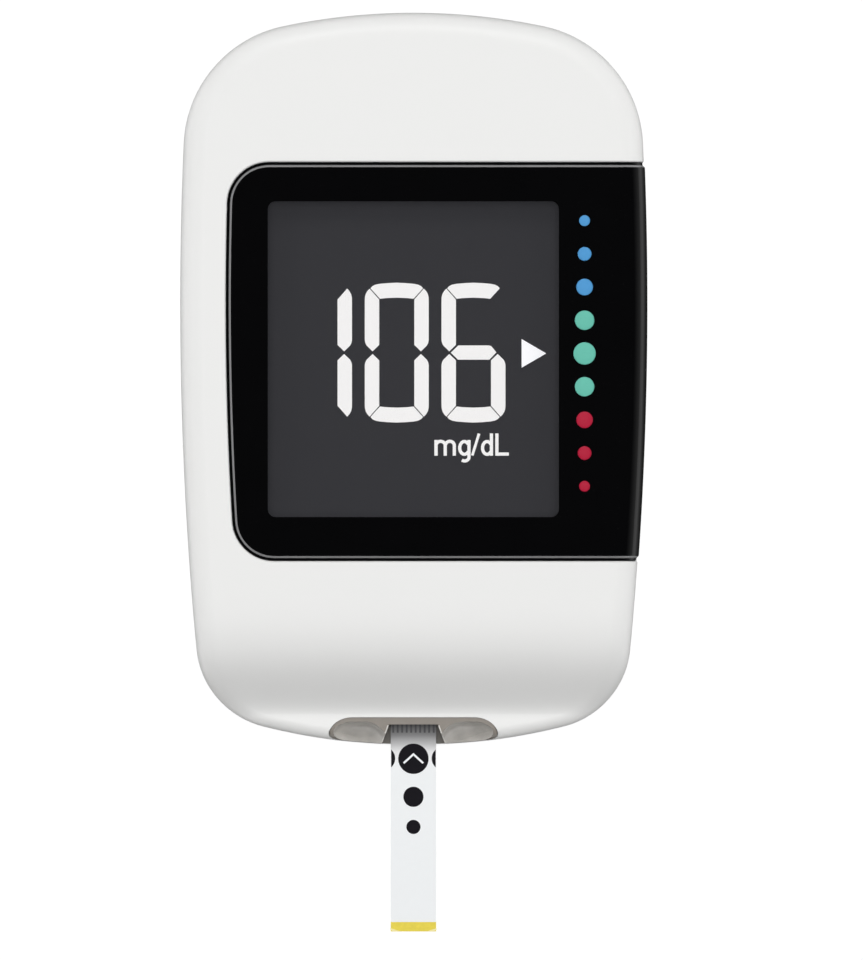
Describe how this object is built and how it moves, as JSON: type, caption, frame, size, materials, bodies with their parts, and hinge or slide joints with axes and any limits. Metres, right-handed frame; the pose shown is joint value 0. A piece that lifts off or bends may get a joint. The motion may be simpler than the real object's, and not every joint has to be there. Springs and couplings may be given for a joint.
{
  "type": "blood glucose meter",
  "caption": "Hand-held blood glucose meter with a wrap-round display window, side buttons, strip ejector, battery door and a test strip in its port.",
  "frame": {"origin": "centre of the case's flat back, on which the meter lies", "axes": "+X to the right of the display, +Y up the case away from the test strip, +Z out of the display"},
  "size_m": [0.0491, 0.0969, 0.0151],
  "materials": {
    "case_white": "fine satin moulded plastic",
    "window_black": "polished black",
    "clear_pane": "polished clear acrylic",
    "black_foam": "matt foam",
    "dot_inks": "gloss ink, three each of blue, green and red",
    "port_grey": "satin smoky grey",
    "display_face": "dark film, lit from behind where digits show",
    "display_glass": "polished glass",
    "light_guide": "polished clear acrylic over white film",
    "inner_white": "plain moulded",
    "elastomer": "matt silicone",
    "board": "solder mask on glass-fibre board",
    "inner_black": "plain moulded",
    "steel": "plated sheet steel",
    "button_black": "satin black",
    "ejector_grey": "satin light grey",
    "gold": "gold plated",
    "coin_cell": "nickel-plated can",
    "strip_white": "white polyester film",
    "strip_yellow": "yellow coated film"
  },
  "bodies": {
    "case": {"front_shell": "case_white", "rear_shell": "case_white", "display_window": "window_black", "display_lens": "clear_pane", "window_tape": "black_foam", "range_dots": "dot_inks", "strip_port": "port_grey", "display_gasket": "black_foam", "front_polariser": "display_face", "lcd_panel": "display_glass", "light_guide": "light_guide", "lcd_frame": "inner_white", "zebra_connector": "elastomer", "main_board": "board", "board_chips": "inner_black", "quartz_crystal": "steel", "usb_socket": "steel", "side_switches": "inner_black", "strip_connector": "inner_black", "connector_contacts": "gold", "coin_cell_upper": "coin_cell", "coin_cell_lower": "coin_cell", "battery_plus_contacts": "steel", "battery_minus_contacts": "steel", "case_screws": "steel"},
    "back_key": {"back_button": "button_black", "back_switch_stem": "inner_white"},
    "forward_key": {"forward_button": "button_black", "forward_switch_stem": "inner_white"},
    "ejector": {"ejector_slider": "ejector_grey", "ejector_sled": "inner_white"},
    "test_strip": {"strip_base": "strip_white", "strip_electrodes": "gold", "strip_spacer": "strip_white", "strip_cover": "strip_white", "strip_dosing_edge": "strip_yellow"},
    "door": {"battery_door": "case_white", "battery_pad": "black_foam"}
  },
  "joints": [
    {"name": "back_press", "type": "slide", "parent": "case", "child": "back_key", "axis": [-1, 0, 0], "range_m": [0, 0.0004], "stiffness_N_per_m": 3000},
    {"name": "forward_press", "type": "slide", "parent": "case", "child": "forward_key", "axis": [-1, 0, 0], "range_m": [0, 0.0004], "stiffness_N_per_m": 3000},
    {"name": "ejector_slide", "type": "slide", "parent": "case", "child": "ejector", "axis": [0, -1, 0], "range_m": [0, 0.007]},
    {"name": "strip_slide", "type": "slide", "parent": "case", "child": "test_strip", "axis": [0, -1, 0], "range_m": [0, 0.007]},
    {"name": "door_hinge", "type": "hinge", "parent": "case", "child": "door", "pos_m": [0, 0.02615, 0.00085], "axis": [1, 0, 0], "range_deg": [0, 75]}
  ],
  "couplings": [
    {"joint": "strip_slide", "follows": "ejector_slide", "ratio": 1}
  ]
}
